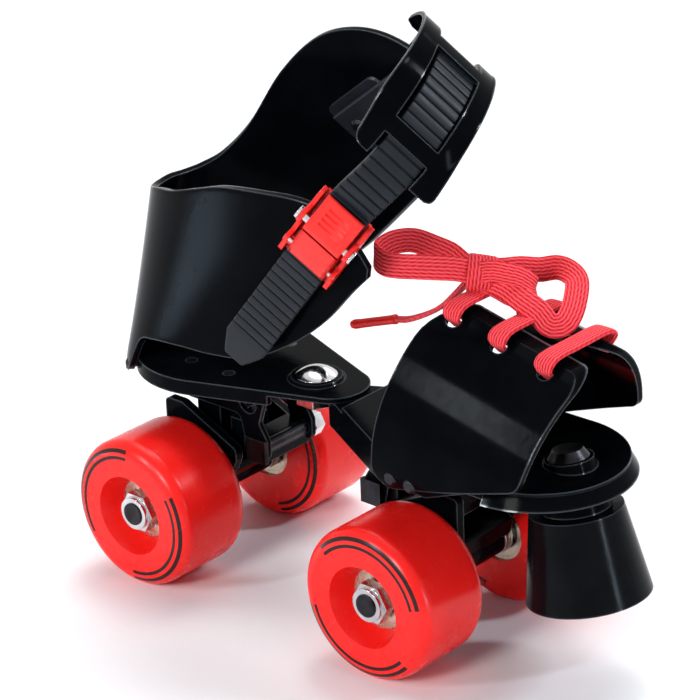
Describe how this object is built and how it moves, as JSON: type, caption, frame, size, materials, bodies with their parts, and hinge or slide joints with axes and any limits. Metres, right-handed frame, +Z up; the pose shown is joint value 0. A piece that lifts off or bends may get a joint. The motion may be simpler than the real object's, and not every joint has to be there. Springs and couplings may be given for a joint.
{
  "type": "roller skate",
  "caption": "Adjustable clip-on quad roller skate with red wheels, black heel cup, laced toe flaps and a ratchet ankle strap.",
  "frame": {"origin": "on the floor, midway between the heel cup's back and the toe stop's front, in the middle of the track", "axes": "+X towards the toe, +Y towards the left, +Z up"},
  "size_m": [0.2178, 0.1012, 0.2074],
  "materials": {
    "red_wheel": "satin cast polyurethane",
    "red_plastic": "gloss",
    "red_lace": "flat woven",
    "black_pvc": "gloss",
    "black_strap": "satin",
    "black_rubber": "satin",
    "black_steel": "gloss",
    "dark_steel": "satin",
    "bearing_shield": "satin",
    "chrome": "bright"
  },
  "bodies": {
    "toe_section": {"toe_plate": "black_steel", "front_bracket": "black_steel", "front_bracket_rivets": "dark_steel", "front_rubber_block": "black_rubber", "front_cross_bolt": "dark_steel", "front_cross_nut": "chrome", "toe_stop": "black_rubber", "toe_stop_bolt": "dark_steel", "toe_stop_nut": "chrome", "toe_flap_right": "black_pvc", "toe_flap_left": "black_pvc", "flap_rivets": "dark_steel", "lace_crossings": "red_lace", "lace_knot": "red_lace", "lace_loop_left": "red_lace", "lace_loop_right": "red_lace", "lace_loop_front": "red_lace", "lace_tail": "red_lace", "lace_tip": "red_lace"},
    "front_truck": {"front_hanger": "black_steel", "front_axle": "dark_steel", "front_axle_nuts": "chrome", "front_axle_washers": "chrome", "front_spacers": "chrome", "front_inner_rings": "chrome"},
    "heel_section": {"heel_plate": "black_steel", "rear_bracket": "black_steel", "rear_bracket_rivets": "dark_steel", "rear_rubber_block": "black_rubber", "rear_cross_bolt": "dark_steel", "rear_cross_nut": "chrome", "clamp_bolt": "chrome", "clamp_washer": "chrome", "clamp_nut": "chrome", "heel_cup": "black_pvc", "heel_cup_rivets": "dark_steel", "ankle_strap": "black_strap", "strap_anchor": "black_strap", "strap_rivets": "dark_steel", "ankle_pad": "black_strap", "buckle_base": "red_plastic", "buckle_pins": "chrome", "buckle_rivets": "dark_steel"},
    "rear_truck": {"rear_hanger": "black_steel", "rear_axle": "dark_steel", "rear_axle_nuts": "chrome", "rear_axle_washers": "chrome", "rear_spacers": "chrome", "rear_inner_rings": "chrome"},
    "wheel_front_right_body": {"wheel_front_right": "red_wheel", "bearings_front_right": "bearing_shield"},
    "wheel_front_left_body": {"wheel_front_left": "red_wheel", "bearings_front_left": "bearing_shield"},
    "wheel_rear_right_body": {"wheel_rear_right": "red_wheel", "bearings_rear_right": "bearing_shield"},
    "wheel_rear_left_body": {"wheel_rear_left": "red_wheel", "bearings_rear_left": "bearing_shield"},
    "buckle_lever_body": {"buckle_lever": "red_plastic"},
    "buckle_pawl_body": {"buckle_pawl": "red_plastic"}
  },
  "joints": [
    {"name": "length_adjust", "type": "slide", "parent": "toe_section", "child": "heel_section", "axis": [-1, 0, 0], "range_m": [0, 0.045]},
    {"name": "front_steer", "type": "hinge", "parent": "toe_section", "child": "front_truck", "pos_m": [0.01175, 0, 0.0438], "axis": [0.9659, 0, 0.2588], "range_deg": [-5, 5], "stiffness_Nm_per_rad": 12},
    {"name": "rear_steer", "type": "hinge", "parent": "heel_section", "child": "rear_truck", "pos_m": [-0.05225, 0, 0.0438], "axis": [-0.9659, 0, 0.2588], "range_deg": [-5, 5], "stiffness_Nm_per_rad": 12},
    {"name": "front_right_wheel_spin", "type": "hinge", "parent": "front_truck", "child": "wheel_front_right_body", "pos_m": [0.03375, -0.0346, 0.027], "axis": [0, 1, 0], "continuous": true},
    {"name": "front_left_wheel_spin", "type": "hinge", "parent": "front_truck", "child": "wheel_front_left_body", "pos_m": [0.03375, 0.0346, 0.027], "axis": [0, 1, 0], "continuous": true},
    {"name": "rear_right_wheel_spin", "type": "hinge", "parent": "rear_truck", "child": "wheel_rear_right_body", "pos_m": [-0.07425, -0.0346, 0.027], "axis": [0, 1, 0], "continuous": true},
    {"name": "rear_left_wheel_spin", "type": "hinge", "parent": "rear_truck", "child": "wheel_rear_left_body", "pos_m": [-0.07425, 0.0346, 0.027], "axis": [0, 1, 0], "continuous": true},
    {"name": "buckle_lever_lift", "type": "hinge", "parent": "heel_section", "child": "buckle_lever_body", "pos_m": [0.0184, -0.04442, 0.15267], "axis": [0.7552, 0.2372, -0.6111], "range_deg": [0, 65]},
    {"name": "buckle_pawl_lift", "type": "hinge", "parent": "heel_section", "child": "buckle_pawl_body", "pos_m": [0.01036, -0.04363, 0.14305], "axis": [0.7552, 0.2372, -0.6111], "range_deg": [0, 14], "stiffness_Nm_per_rad": 0.02}
  ]
}
